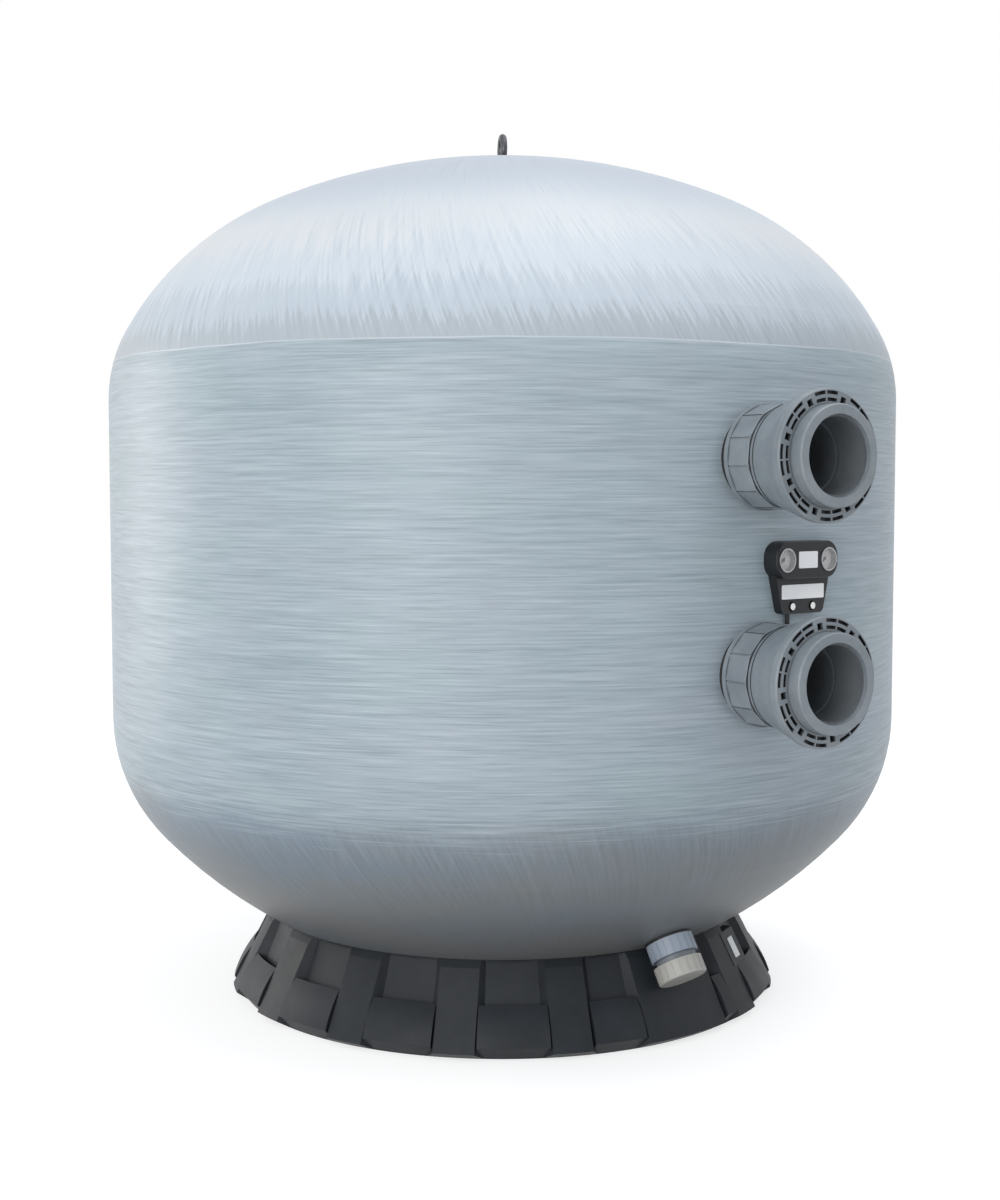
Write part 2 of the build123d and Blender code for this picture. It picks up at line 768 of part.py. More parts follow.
gauge_places = {"inlet": -gauge_spacing / 2, "outlet": gauge_spacing / 2}
with BuildPart() as gauge_panel:
    with BuildSketch(panel_plane(tank_radius - panel_lobe_reach)):
        RectangleRounded(panel_width, panel_lobe_height, panel_lobe_corner)
        with BuildLine():
            FilletPolyline(
                (0, 0),
                (panel_waist_width / 2, -panel_waist_drop),
                (panel_foot_width / 2, -panel_foot_drop),
                (-panel_foot_width / 2, -panel_foot_drop),
                (-panel_waist_width / 2, -panel_waist_drop),
                (0, 0),
                radius=panel_corner,
            )
        make_face()
    extrude(amount=panel_lobe_reach + panel_base_reach)
    with BuildSketch(panel_plane(panel_base_front)):
        RectangleRounded(panel_width, panel_lobe_height, panel_lobe_corner)
    extrude(amount=panel_lobe_front - panel_base_front)
    add(outer_vessel, mode=Mode.SUBTRACT)
    lobe_rim = gauge_panel.faces().filter_by(panel_plane(0)).sort_by_distance(
        panel_plane(panel_lobe_front).origin)[0].edges()
    fillet(lobe_rim, radius=panel_edge_round)
    with BuildSketch(panel_plane(panel_lobe_front)):
        with Locations(*[(place, 0) for place in gauge_places.values()]):
            Circle(gauge_case_radius)
    extrude(amount=-(panel_lobe_front - gauge_case_back), mode=Mode.SUBTRACT)
    tap_centres = [(place, -tap_drop) for place in tap_lateral.values()]
    with BuildSketch(panel_plane(tank_radius / 2)):
        with Locations(*tap_centres):
            Circle(tap_stem_radius + hole_clearance)
    extrude(amount=tank_radius, mode=Mode.SUBTRACT)
    with BuildSketch(panel_plane(tap_pocket_floor)):
        with Locations(*tap_centres):
            Circle(tap_pocket_radius)
    extrude(amount=tap_pocket_depth, mode=Mode.SUBTRACT)
    with BuildSketch(Plane.XY.offset(gauge_height - tap_drop)):
        spout_place = panel_plane(tap_pocket_floor - spout_radius - spout_cover).from_local_coords(
            Vector(tap_lateral["water"], 0, 0))
        with Locations((spout_place.X, spout_place.Y)):
            Circle(spout_radius)
    extrude(amount=-panel_foot_drop, mode=Mode.SUBTRACT)
write_piece(gauge_panel, "gauge_panel")

with BuildPart() as upper_label:
    with BuildSketch(panel_plane(panel_lobe_front)):
        RectangleRounded(upper_label_width, upper_label_height, label_corner)
    extrude(amount=label_thickness)
write_piece(upper_label, "upper_label")

with BuildPart() as lower_label:
    with BuildSketch(panel_plane(panel_base_front)):
        with Locations((0, -lower_label_drop)):
            RectangleRounded(lower_label_width, lower_label_height, label_corner)
    extrude(amount=label_thickness)
write_piece(lower_label, "lower_label")


def make_gauge(name, place):
    """Pressure gauge: a cup, its dial, a needle on the dial's middle and a lens."""
    dial_radius = gauge_case_radius - gauge_case_wall
    dial_face = gauge_case_back + gauge_floor + dial_thickness
    pin_radius = needle_hub_radius / 3
    needle_back = dial_face + turning_clearance + (needle_hub_height - needle_thickness) / 2
    with BuildPart() as gauge_case:
        with BuildSketch(panel_plane(gauge_case_back)):
            with Locations((place, 0)):
                Circle(gauge_case_radius)
        extrude(amount=gauge_case_depth)
        with BuildSketch(panel_plane(gauge_case_back + gauge_floor)):
            with Locations((place, 0)):
                Circle(dial_radius)
        extrude(amount=gauge_case_depth, mode=Mode.SUBTRACT)
        with BuildSketch(panel_plane(gauge_case_back)):
            with Locations((place, 0)):
                Circle(pin_radius + spindle_clearance)
        extrude(amount=gauge_case_depth, mode=Mode.SUBTRACT)
    write_piece(gauge_case, name + "_gauge_case")
    with BuildPart() as gauge_dial:
        with BuildSketch(panel_plane(gauge_case_back + gauge_floor)):
            with Locations((place, 0)):
                Circle(dial_radius)
                Circle(pin_radius + spindle_clearance, mode=Mode.SUBTRACT)
        extrude(amount=dial_thickness)
    write_piece(gauge_dial, name + "_gauge_dial")
    with BuildPart() as gauge_needle:
        with BuildSketch(panel_plane(gauge_case_back + turning_clearance)):
            with Locations((place, 0)):
                Circle(pin_radius)
        extrude(amount=dial_face - gauge_case_back)
        with BuildSketch(panel_plane(dial_face + turning_clearance)):
            with Locations((place, 0)):
                Circle(needle_hub_radius)
        extrude(amount=needle_hub_height)
        with BuildSketch(panel_plane(needle_back)):
            with Locations(Location((place, 0), needle_zero_angle)):
                Polygon(
                    (-needle_tail, -needle_hub_radius / 2),
                    (needle_length, -needle_hub_radius / 8),
                    (needle_length, needle_hub_radius / 8),
                    (-needle_tail, needle_hub_radius / 2),
                    align=None,
                )
        extrude(amount=needle_thickness)
    write_piece(gauge_needle, name + "_gauge_needle")
    with BuildPart() as gauge_lens:
        with BuildSketch(panel_plane(gauge_case_front - lens_thickness - turning_clearance)):
            with Locations((place, 0)):
                Circle(dial_radius)
        extrude(amount=lens_thickness)
    write_piece(gauge_lens, name + "_gauge_lens")


for gauge_name, gauge_place in gauge_places.items():
    make_gauge(gauge_name, gauge_place)


# Purge taps


def tap_plane(distance, place):
    """Plane across a tap's axis at a distance from the tank's axis."""
    middle = across_plane(gauge_height - tap_drop, distance, panel_angle)
    return Plane(origin=middle.origin + middle.x_dir * place, x_dir=middle.x_dir, z_dir=middle.z_dir)


tap_stem_back = tank_radius - tank_wall - tap_nut_length - tap_stem_tail
tap_nut_back = tank_radius - tank_wall - tap_nut_length


def make_tap(name, place):
    """Tap body through the panel and the wall, and the knob that turns on its spindle."""
    with BuildPart() as tap_body:
        with BuildSketch(tap_plane(tap_stem_back, place)):
            Circle(tap_stem_radius)
            Circle(air_tube_radius - air_tube_wall, mode=Mode.SUBTRACT)
        extrude(amount=tap_pocket_floor - tap_stem_back)
        with BuildSketch(tap_plane(tap_pocket_floor, place)):
            Circle(tap_boss_radius)
        extrude(amount=tap_boss_length)
        with BuildSketch(tap_plane(tap_boss_front, place)):
            Circle(tap_spindle_radius)
        extrude(amount=tap_spindle_length)
    write_piece(tap_body, name + "_tap_body")
    with BuildPart() as tap_knob:
        with BuildSketch(tap_plane(tap_boss_front + turning_clearance, place)):
            Circle(tap_knob_radius)
            with PolarLocations(tap_knob_radius + tap_flute_radius / 2, tap_knob_flutes):
                Circle(tap_flute_radius, mode=Mode.SUBTRACT)
        extrude(amount=tap_knob_length)
        with BuildSketch(tap_plane(tap_boss_front, place)):
            Circle(tap_spindle_radius + spindle_clearance)
        extrude(amount=tap_spindle_length + turning_clearance, mode=Mode.SUBTRACT)
    write_piece(tap_knob, name + "_tap_knob")


for tap_name, tap_place in tap_lateral.items():
    make_tap(tap_name, tap_place)

with BuildPart() as tap_nuts:
    for tap_place in tap_lateral.values():
        with BuildSketch(tap_plane(tap_nut_back, tap_place)):
            RegularPolygon(tap_nut_radius, 6)
            Circle(tap_stem_radius, mode=Mode.SUBTRACT)
        extrude(amount=tap_nut_length + tank_wall)
    add(inner_vessel, mode=Mode.INTERSECT)
write_piece(tap_nuts, "tap_nuts")

with BuildPart() as tap_spout:
    with BuildSketch(Plane.XY.offset(gauge_height - panel_foot_drop - spout_drop)):
        with Locations((spout_place.X, spout_place.Y)):
            Circle(spout_radius)
    extrude(amount=panel_foot_drop + spout_drop - tap_drop)
    with BuildSketch(tap_plane(tap_stem_back, tap_lateral["water"])):
        Circle(tap_stem_radius)
    extrude(amount=tap_pocket_floor - tap_stem_back, mode=Mode.SUBTRACT)
    with BuildSketch(Plane.XY.offset(gauge_height - panel_foot_drop - spout_drop)):
        with Locations((spout_place.X, spout_place.Y)):
            Circle(spout_bore)
    extrude(amount=panel_foot_drop + spout_drop - tap_drop, mode=Mode.SUBTRACT)
write_piece(tap_spout, "tap_spout")


# Lifting eye and the threaded insert under it

with BuildPart() as lifting_insert:
    with BuildSketch(Plane.XY.offset(apex_height)):
        Circle(insert_flange_radius)
    extrude(amount=-(tank_wall + insert_flange_thickness))
    add(inner_vessel, mode=Mode.INTERSECT)
    with BuildSketch(Plane.XY.offset(apex_height)):
        Circle(insert_radius)
    extrude(amount=-insert_length)
    with BuildSketch(Plane.XY.offset(apex_height)):
        Circle(eye_shank_radius)
    extrude(amount=-insert_length, mode=Mode.SUBTRACT)
write_piece(lifting_insert, "lifting_insert")

eye_centre_height = apex_height + eye_height - eye_ring_radius - eye_section
with BuildPart() as lifting_eye:
    with BuildSketch(Plane.XY.offset(apex_height - eye_shank_length)):
        Circle(eye_shank_radius)
    extrude(amount=eye_shank_length)
    with BuildSketch(Plane.XY.offset(apex_height)):
        Circle(eye_collar_radius)
    extrude(amount=eye_collar_height)
    collar_rim = lifting_eye.edges().filter_by(GeomType.CIRCLE).group_by(Axis.Z)[-1]
    chamfer(collar_rim, length=eye_collar_height / 4)
    with BuildSketch(Plane.XY.offset(apex_height)):
        Circle(eye_neck_radius)
    extrude(amount=eye_centre_height - apex_height - eye_ring_radius + eye_section / 2)
    with Locations(Plane(origin=(0, 0, eye_centre_height), z_dir=along_plane(0, eye_turn).z_dir)):
        Torus(eye_ring_radius, eye_section)
write_piece(lifting_eye, "lifting_eye")


# Drain


def drain_axis():
    """Axis that the drain's pieces are turned about."""
    plane = drain_plane(0)
    return Axis(plane.origin, plane.z_dir)


def drain_section():
    """Plane along the drain: first coordinate out of the tank's skin, second the radius."""
    plane = drain_plane(0)
    return Plane(origin=plane.origin, x_dir=plane.z_dir, z_dir=plane.x_dir)


drain_nut_start = drain_gasket_thickness
drain_nut_end = drain_nut_start + drain_nut_length
drain_cap_start = drain_nut_end + drain_neck_length
drain_cap_end = drain_cap_start + drain_cap_length
drain_cap_floor_face = drain_cap_end - drain_cap_floor
drain_seal_face = drain_cap_floor_face - drain_seal_thickness
drain_nozzle_end = drain_seal_face - turning_clearance
drain_flange_face = -tank_wall - drain_gasket_thickness
with BuildPart() as drain_nozzle:
    add(turned(drain_section(), drain_axis(), [
        (drain_flange_face - drain_flange_thickness, drain_bore),
        (drain_flange_face - drain_flange_thickness, drain_flange_radius),
        (drain_flange_face, drain_flange_radius),
        (drain_flange_face, drain_nozzle_radius),
        (drain_nut_end, drain_nozzle_radius),
        (drain_nut_end, drain_neck_radius),
        (drain_cap_start - turning_clearance, drain_neck_radius),
        (drain_cap_start - turning_clearance, drain_nozzle_radius),
        (drain_nozzle_end, drain_nozzle_radius),
        (drain_nozzle_end, drain_bore),
    ]))
write_piece(drain_nozzle, "drain_nozzle")

with BuildPart() as drain_inner_gasket:
    with BuildSketch(drain_plane(drain_flange_face)):
        Circle(drain_flange_radius)
        Circle(drain_nozzle_radius + hole_clearance, mode=Mode.SUBTRACT)
    extrude(amount=drain_gasket_thickness + tank_wall)
    add(inner_vessel, mode=Mode.INTERSECT)
write_piece(drain_inner_gasket, "drain_inner_gasket")

with BuildPart() as drain_outer_gasket:
    with BuildSketch(drain_plane(-tank_wall)):
        Circle(drain_nut_radius - drain_grip_depth)
        Circle(drain_nozzle_radius + hole_clearance, mode=Mode.SUBTRACT)
    extrude(amount=drain_gasket_thickness + tank_wall)
    add(outer_vessel, mode=Mode.SUBTRACT)
write_piece(drain_outer_gasket, "drain_outer_gasket")


def grip_grooves(radius, start, length):
    """Cutters for the grip grooves round a drain fitting."""
    with BuildPart() as cutter:
        with BuildSketch(drain_plane(start)):
            with PolarLocations(radius, drain_grip_count):
                Rectangle(2 * drain_grip_depth, drain_grip_width)
        extrude(amount=length)
    return cutter.part


with BuildPart() as drain_nut:
    with BuildSketch(drain_plane(drain_nut_start)):
        Circle(drain_nut_radius)
        Circle(drain_nozzle_radius, mode=Mode.SUBTRACT)
    extrude(amount=drain_nut_length)
    add(grip_grooves(drain_nut_radius, drain_nut_start + drain_grip_width, drain_nut_length),
        mode=Mode.SUBTRACT)
write_piece(drain_nut, "drain_nut")

with BuildPart() as drain_cap:
    with BuildSketch(drain_plane(drain_cap_start)):
        Circle(drain_cap_radius)
    extrude(amount=drain_cap_length)
    with BuildSketch(drain_plane(drain_cap_start)):
        Circle(drain_nozzle_radius + thread_clearance)
    extrude(amount=drain_cap_floor_face - drain_cap_start, mode=Mode.SUBTRACT)
    chamfer(drain_cap.edges().filter_by(GeomType.CIRCLE).sort_by(Axis.Z)[0], length=edge_chamfer)
    add(grip_grooves(drain_cap_radius, drain_cap_start + drain_grip_width, drain_cap_length),
        mode=Mode.SUBTRACT)
write_piece(drain_cap, "drain_cap")

with BuildPart() as drain_cap_seal:
    with BuildSketch(drain_plane(drain_seal_face)):
        Circle(drain_nozzle_radius)
        Circle(drain_bore, mode=Mode.SUBTRACT)
    extrude(amount=drain_seal_thickness)
write_piece(drain_cap_seal, "drain_cap_seal")


# Manhole lid and its fastenings


def manhole_plane(distance):
    """Plane across the manhole at a distance from the tank's axis."""
    return across_plane(manhole_height, distance, manhole_side)


with BuildPart() as manhole_gasket:
    with BuildSketch(manhole_plane(manhole_flange_face)):
        Circle(manhole_radius + manhole_gasket_width)
        Circle(manhole_radius, mode=Mode.SUBTRACT)
    extrude(amount=manhole_gasket_thickness)
write_piece(manhole_gasket, "manhole_gasket")

with BuildPart() as manhole_lid:
    with BuildSketch(manhole_plane(manhole_lid_back)):
        Circle(manhole_flange_radius)
    extrude(amount=manhole_lid_thickness)
    with BuildSketch(manhole_plane(manhole_lid_front)):
        Circle(manhole_radius)
    extrude(amount=manhole_lid_crown, taper=manhole_lid_slope)
    with BuildSketch(manhole_plane(manhole_lid_back)):
        with PolarLocations(manhole_bolt_circle, manhole_bolts_count):
            Circle(manhole_bolt_radius + hole_clearance)
    extrude(amount=manhole_lid_thickness, mode=Mode.SUBTRACT)
write_piece(manhole_lid, "manhole_lid")

bolt_head_start = manhole_lid_front + manhole_washer_thickness
bolt_nut_start = manhole_flange_back - manhole_washer_thickness
with BuildPart() as manhole_bolts:
    with BuildSketch(manhole_plane(bolt_head_start)):
        with PolarLocations(manhole_bolt_circle, manhole_bolts_count):
            RegularPolygon(manhole_bolt_head_radius, 6)
    extrude(amount=manhole_bolt_head_height)
    with BuildSketch(manhole_plane(bolt_head_start)):
        with PolarLocations(manhole_bolt_circle, manhole_bolts_count):
            Circle(manhole_bolt_radius)
    extrude(amount=-(bolt_head_start - bolt_nut_start + manhole_nut_height + manhole_bolt_tail))
write_piece(manhole_bolts, "manhole_bolts")

with BuildPart() as manhole_washers:
    for washer_start in (manhole_lid_front, bolt_nut_start):
        with BuildSketch(manhole_plane(washer_start)):
            with PolarLocations(manhole_bolt_circle, manhole_bolts_count):
                Circle(manhole_washer_radius)
                Circle(manhole_bolt_radius + hole_clearance, mode=Mode.SUBTRACT)
        extrude(amount=manhole_washer_thickness)
write_piece(manhole_washers, "manhole_washers")

with BuildPart() as manhole_nuts:
    with BuildSketch(manhole_plane(bolt_nut_start)):
        with PolarLocations(manhole_bolt_circle, manhole_bolts_count):
            RegularPolygon(manhole_bolt_head_radius, 6)
            Circle(manhole_bolt_radius, mode=Mode.SUBTRACT)
    extrude(amount=-manhole_nut_height)
write_piece(manhole_nuts, "manhole_nuts")


# Pipework inside the tank


def inner_pipe(height, end_height):
    """Pipe from a nozzle to the tank's axis, then up or down the axis."""
    with BuildPart() as pipe:
        with BuildLine() as route:
            FilletPolyline(
                (0, -nozzle_back, height),
                (0, 0, height),
                (0, 0, end_height),
                radius=inner_bend_radius,
            )
        with BuildSketch(across_plane(height, nozzle_back)):
            Circle(inner_pipe_radius)
            Circle(inner_pipe_radius - inner_pipe_wall, mode=Mode.SUBTRACT)
        sweep(path=route.wires()[0])
    return pipe


inlet_pipe = inner_pipe(inlet_height, diffuser_mouth_height)
write_piece(inlet_pipe, "inlet_pipe")
outlet_pipe = inner_pipe(outlet_height, hub_floor_height + hub_height)
write_piece(outlet_pipe, "outlet_pipe")

diffuser_lid_height = diffuser_mouth_height + diffuser_gap
with BuildPart() as diffuser:
    with BuildSketch(Plane.XY.offset(diffuser_mouth_height - inner_pipe_radius)):
        Circle(inner_pipe_radius + diffuser_wall)
        Circle(inner_pipe_radius, mode=Mode.SUBTRACT)
    extrude(amount=inner_pipe_radius)
    with BuildSketch(Plane.XY.offset(diffuser_mouth_height)):
        Circle(diffuser_radius)
        Circle(inner_pipe_radius, mode=Mode.SUBTRACT)
    extrude(amount=-diffuser_wall)
    with BuildSketch(Plane.XY.offset(diffuser_mouth_height)):
        with PolarLocations(diffuser_radius - 2 * diffuser_post_radius, diffuser_posts):
            Circle(diffuser_post_radius)
    extrude(amount=diffuser_gap)
    with BuildSketch(Plane.XY.offset(diffuser_lid_height)):
        Circle(diffuser_radius)
    extrude(amount=diffuser_wall)
write_piece(diffuser, "diffuser")

hub_top = hub_floor_height + hub_height
lateral_height = hub_floor_height + hub_height / 2
with BuildPart() as collector_hub:
    with BuildSketch(Plane.XY.offset(hub_floor_height)):
        Circle(hub_radius)
    extrude(amount=hub_height)
    with BuildSketch(Plane.XY.offset(hub_floor_height + hub_wall)):
        Circle(hub_radius - hub_wall)
    extrude(amount=hub_height - 2 * hub_wall, mode=Mode.SUBTRACT)
    with BuildSketch(Plane.XY.offset(hub_top)):
        Circle(inner_pipe_radius - inner_pipe_wall)
    extrude(amount=-2 * hub_wall, mode=Mode.SUBTRACT)
    for index in range(lateral_count):
        turn = index * 360.0 / lateral_count
        with BuildSketch(across_plane(lateral_height, hub_radius - 2 * hub_wall, turn)):
            Circle(lateral_radius)
        extrude(amount=4 * hub_wall, mode=Mode.SUBTRACT)
write_piece(collector_hub, "collector_hub")

with BuildPart() as laterals:
    for index in range(lateral_count):
        turn = index * 360.0 / lateral_count
        with BuildSketch(across_plane(lateral_height, hub_radius - hub_wall, turn)):
            Circle(lateral_radius)
        extrude(amount=lateral_reach - hub_radius + hub_wall)
        with BuildSketch(across_plane(lateral_height, hub_radius - hub_wall, turn)):
            Circle(lateral_radius - lateral_wall)
        extrude(amount=lateral_reach - hub_radius + hub_wall - lateral_wall, mode=Mode.SUBTRACT)
        slot_pitch = (lateral_reach - hub_radius) / (lateral_slots + 1)
        for slot in range(lateral_slots):
            slot_place = hub_radius + (slot + 1) * slot_pitch
            with BuildSketch(across_plane(lateral_height - lateral_radius, slot_place, turn)):
                Rectangle(2 * lateral_radius, lateral_radius)
            extrude(amount=lateral_slot_width, mode=Mode.SUBTRACT)
write_piece(laterals, "laterals")


tube_top = upper_centre_height + sqrt(
    (upper_crown - tank_wall - air_tube_stand_off) ** 2 - air_tube_start_radius ** 2)
turn_radius = upper_shoulder - tank_wall - air_tube_shoulder_room
tube_shoulder_distance = upper_turn_distance + turn_radius * cos(radians(air_tube_shoulder_angle))
tube_shoulder_height = upper_tangent + upper_turn_rise + turn_radius * sin(radians(air_tube_shoulder_angle))
tube_side_distance = tank_radius - tank_wall - air_tube_stand_off - air_tube_side_room
tube_foot_height = gauge_height - tap_drop
air_tube_place = tap_plane(0, tap_lateral["air"])
air_tube_plane = Plane(
    origin=air_tube_place.origin - Vector(0, 0, tube_foot_height),
    x_dir=air_tube_place.z_dir,
    z_dir=-air_tube_place.x_dir,
)
with BuildPart() as air_tube:
    with BuildLine(air_tube_plane) as tube_route:
        FilletPolyline(
            (air_tube_start_radius, tube_top - air_tube_stand_off),
            (tube_shoulder_distance, tube_shoulder_height),
            (tube_side_distance, upper_tangent),
            (tube_side_distance, tube_foot_height),
            (tap_stem_back, tube_foot_height),
            radius=air_tube_bend_radius,
        )
    start = tube_route.wires()[0] ^ 0
    with BuildSketch(Plane(origin=start.position, z_dir=tube_route.wires()[0] % 0)):
        Circle(air_tube_radius)
        Circle(air_tube_radius - air_tube_wall, mode=Mode.SUBTRACT)
    sweep(path=tube_route.wires()[0])
write_piece(air_tube, "air_tube")
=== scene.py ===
import json
from math import cos, radians, sin

import bmesh
import bpy
from mathutils import Matrix, Vector


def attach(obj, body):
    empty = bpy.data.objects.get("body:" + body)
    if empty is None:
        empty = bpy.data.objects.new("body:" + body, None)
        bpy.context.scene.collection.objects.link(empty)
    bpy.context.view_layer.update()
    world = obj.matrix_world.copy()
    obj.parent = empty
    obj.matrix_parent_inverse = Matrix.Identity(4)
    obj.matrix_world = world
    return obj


# All lengths are in metres. The tank's axis is +Z, and the two unions face -Y.

# Camera
camera_turn = radians(-33.0)
camera_distance = 3.155
camera_height = 0.8956
camera_pitch = 0.0637
camera_lens = 52.2
camera_shift = -0.0019

# Light
sky_strength = 0.65
floor_lift = 0.70
floor_half_size = 40.0

# Winding: heights of the hoops' edges, and how far those edges stray and fade
hoop_top = 1.110
hoop_bottom = 0.420
hoop_edge_wander = 0.005
# The next value is the width of the painted highlight along the hoops' top edge
hoop_edge_line = 0.0022
hoop_fade = 0.050
hoop_stretch = (5.0, 5.0, 250.0)
fine_hoop_stretch = (12.0, 12.0, 430.0)
winding_relief = 0.0012

# Winding: heights that the two domes' tones run between, and how far a strand carries them
top_zones = (1.10, 1.40)
low_zones = (0.16, 0.46)
strand_reach = 0.16
zone_wander = 0.05

# Winding: how far the dome's strands turn round the axis, in radians for each metre of height
strand_lean = 0.6
crossing_lean = -0.3

# Unions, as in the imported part
port_heights = (0.942, 0.622)
socket_bore = 0.057

# Union painted shade: how much darker a bore is painted, and how wide a pocket still counts as deep enough
# to be painted darker
bore_shade = 0.6
pocket_shade_reach = 0.012

# Gauge panel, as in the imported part
panel_turn = radians(6.8)
gauge_height = 0.790
gauge_spacing = 0.094
dial_distance = 0.7073
dial_radius = 0.0158

# Gauge lens: how much of it is seen
lens_alpha = 0.12

# Dial ticks
dial_ticks = 28
ticks_per_major = 4
dial_sweep = radians(270.0)
dial_start = radians(225.0)
tick_outer = 0.90 * dial_radius
major_inner = 0.72 * dial_radius
minor_inner = 0.80 * dial_radius
major_width = 0.0007
minor_width = 0.0004
tick_thickness = 0.00008
tick_lift = 0.0001

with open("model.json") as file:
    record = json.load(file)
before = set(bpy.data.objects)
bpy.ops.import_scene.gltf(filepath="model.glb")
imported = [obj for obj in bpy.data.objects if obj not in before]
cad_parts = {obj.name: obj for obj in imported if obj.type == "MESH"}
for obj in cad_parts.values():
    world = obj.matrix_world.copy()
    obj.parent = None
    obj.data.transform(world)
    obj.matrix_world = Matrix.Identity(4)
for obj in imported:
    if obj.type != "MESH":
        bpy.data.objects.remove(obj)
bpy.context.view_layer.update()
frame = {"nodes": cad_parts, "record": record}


# Node helpers


def new_material(name):
    """An empty node material with a Principled shader, and the tree that holds it."""
    material = bpy.data.materials.new(name)
    material.use_nodes = True
    tree = material.node_tree
    return material, tree, tree.nodes["Principled BSDF"]


def math_node(tree, operation, first, second=None, third=None):
    """A Math node whose inputs are sockets or plain numbers."""
    node = tree.nodes.new("ShaderNodeMath")
    node.operation = operation
    for socket, value in zip(node.inputs, (first, second, third)):
        if value is None:
            continue
        if isinstance(value, (int, float)):
            socket.default_value = value
        else:
            tree.links.new(value, socket)
    return node.outputs[0]


def noise(tree, vector, scale, detail=4.0, roughness=0.55):
    """A Noise texture on a vector."""
    node = tree.nodes.new("ShaderNodeTexNoise")
    node.inputs["Scale"].default_value = scale
    node.inputs["Detail"].default_value = detail
    node.inputs["Roughness"].default_value = roughness
    tree.links.new(vector, node.inputs["Vector"])
    return node.outputs["Fac"]


def noise_range(tree, vector, scale, low, high):
    """A Noise texture brought between two values."""
    node = tree.nodes.new("ShaderNodeMapRange")
    node.inputs["To Min"].default_value = low
    node.inputs["To Max"].default_value = high
    tree.links.new(noise(tree, vector, scale), node.inputs["Value"])
    return node.outputs["Result"]


def between(tree, value, low, high, soft=False):
    """Nought at one value, one at another, and a straight or soft climb between them."""
    node = tree.nodes.new("ShaderNodeMapRange")
    if soft:
        node.interpolation_type = "SMOOTHSTEP"
    node.inputs["From Min"].default_value = low
    node.inputs["From Max"].default_value = high
    tree.links.new(value, node.inputs["Value"])
    return node.outputs["Result"]


def moved(tree, value, wander, amount):
    """A value moved up and down by a noise, by half the amount each way."""
    return math_node(tree, "MULTIPLY_ADD", math_node(tree, "SUBTRACT", wander, 0.5), amount, value)


def ramp(tree, factor, stops):
    """A colour ramp from (place, colour) stops."""
    node = tree.nodes.new("ShaderNodeValToRGB")
    elements = node.color_ramp.elements
    for index, (place, colour) in enumerate(stops):
        element = elements[index] if index < 2 else elements.new(place)
        element.position = place
        element.color = (*colour, 1.0)
    tree.links.new(factor, node.inputs["Fac"])
    return node.outputs["Color"]


def mix_colour(tree, factor, first, second, blend="MIX"):
    """A Mix node on colours, whose inputs are sockets or plain values."""
    node = tree.nodes.new("ShaderNodeMix")
    node.data_type = "RGBA"
    node.blend_type = blend
    for socket, value in ((node.inputs[0], factor), (node.inputs[6], first), (node.inputs[7], second)):
        if isinstance(value, (int, float)):
            socket.default_value = value
        elif isinstance(value, tuple):
            socket.default_value = (*value, 1.0)
        else:
            tree.links.new(value, socket)
    return node.outputs[2]


def bump(tree, shader, height, strength, distance):
    """A bump on a shader from a height socket."""
    node = tree.nodes.new("ShaderNodeBump")
    node.inputs["Strength"].default_value = strength
    node.inputs["Distance"].default_value = distance
    tree.links.new(height, node.inputs["Height"])
    tree.links.new(node.outputs["Normal"], shader.inputs["Normal"])


def coordinates(tree):
    """The surface's place in the object's own frame."""
    return tree.nodes.new("ShaderNodeTexCoord").outputs["Object"]


def stretched(tree, vector, scale):
    """A vector with its parts scaled."""
    node = tree.nodes.new("ShaderNodeMapping")
    node.inputs["Scale"].default_value = scale
    tree.links.new(vector, node.inputs["Vector"])
    return node.outputs["Vector"]


# Wound glassfibre


def strand_noise(tree, place, twist, around, along, detail):
    """Streaks that run up a dome and lean round it by a twist for each metre of height."""
    parts = tree.nodes.new("ShaderNodeSeparateXYZ")
    tree.links.new(place, parts.inputs[0])
    flat = tree.nodes.new("ShaderNodeCombineXYZ")
    tree.links.new(parts.outputs["X"], flat.inputs["X"])
    tree.links.new(parts.outputs["Y"], flat.inputs["Y"])
    outward = tree.nodes.new("ShaderNodeVectorMath")
    outward.operation = "NORMALIZE"
    tree.links.new(flat.outputs[0], outward.inputs[0])
    turned = tree.nodes.new("ShaderNodeVectorRotate")
    turned.rotation_type = "Z_AXIS"
    tree.links.new(outward.outputs[0], turned.inputs["Vector"])
    tree.links.new(math_node(tree, "MULTIPLY", parts.outputs["Z"], twist), turned.inputs["Angle"])
    turned_parts = tree.nodes.new("ShaderNodeSeparateXYZ")
    tree.links.new(turned.outputs[0], turned_parts.inputs[0])
    joined = tree.nodes.new("ShaderNodeCombineXYZ")
    tree.links.new(math_node(tree, "MULTIPLY", turned_parts.outputs["X"], around), joined.inputs["X"])
    tree.links.new(math_node(tree, "MULTIPLY", turned_parts.outputs["Y"], around), joined.inputs["Y"])
    tree.links.new(math_node(tree, "MULTIPLY", parts.outputs["Z"], along), joined.inputs["Z"])
    return noise(tree, joined.outputs[0], 1.0, detail, 0.6)


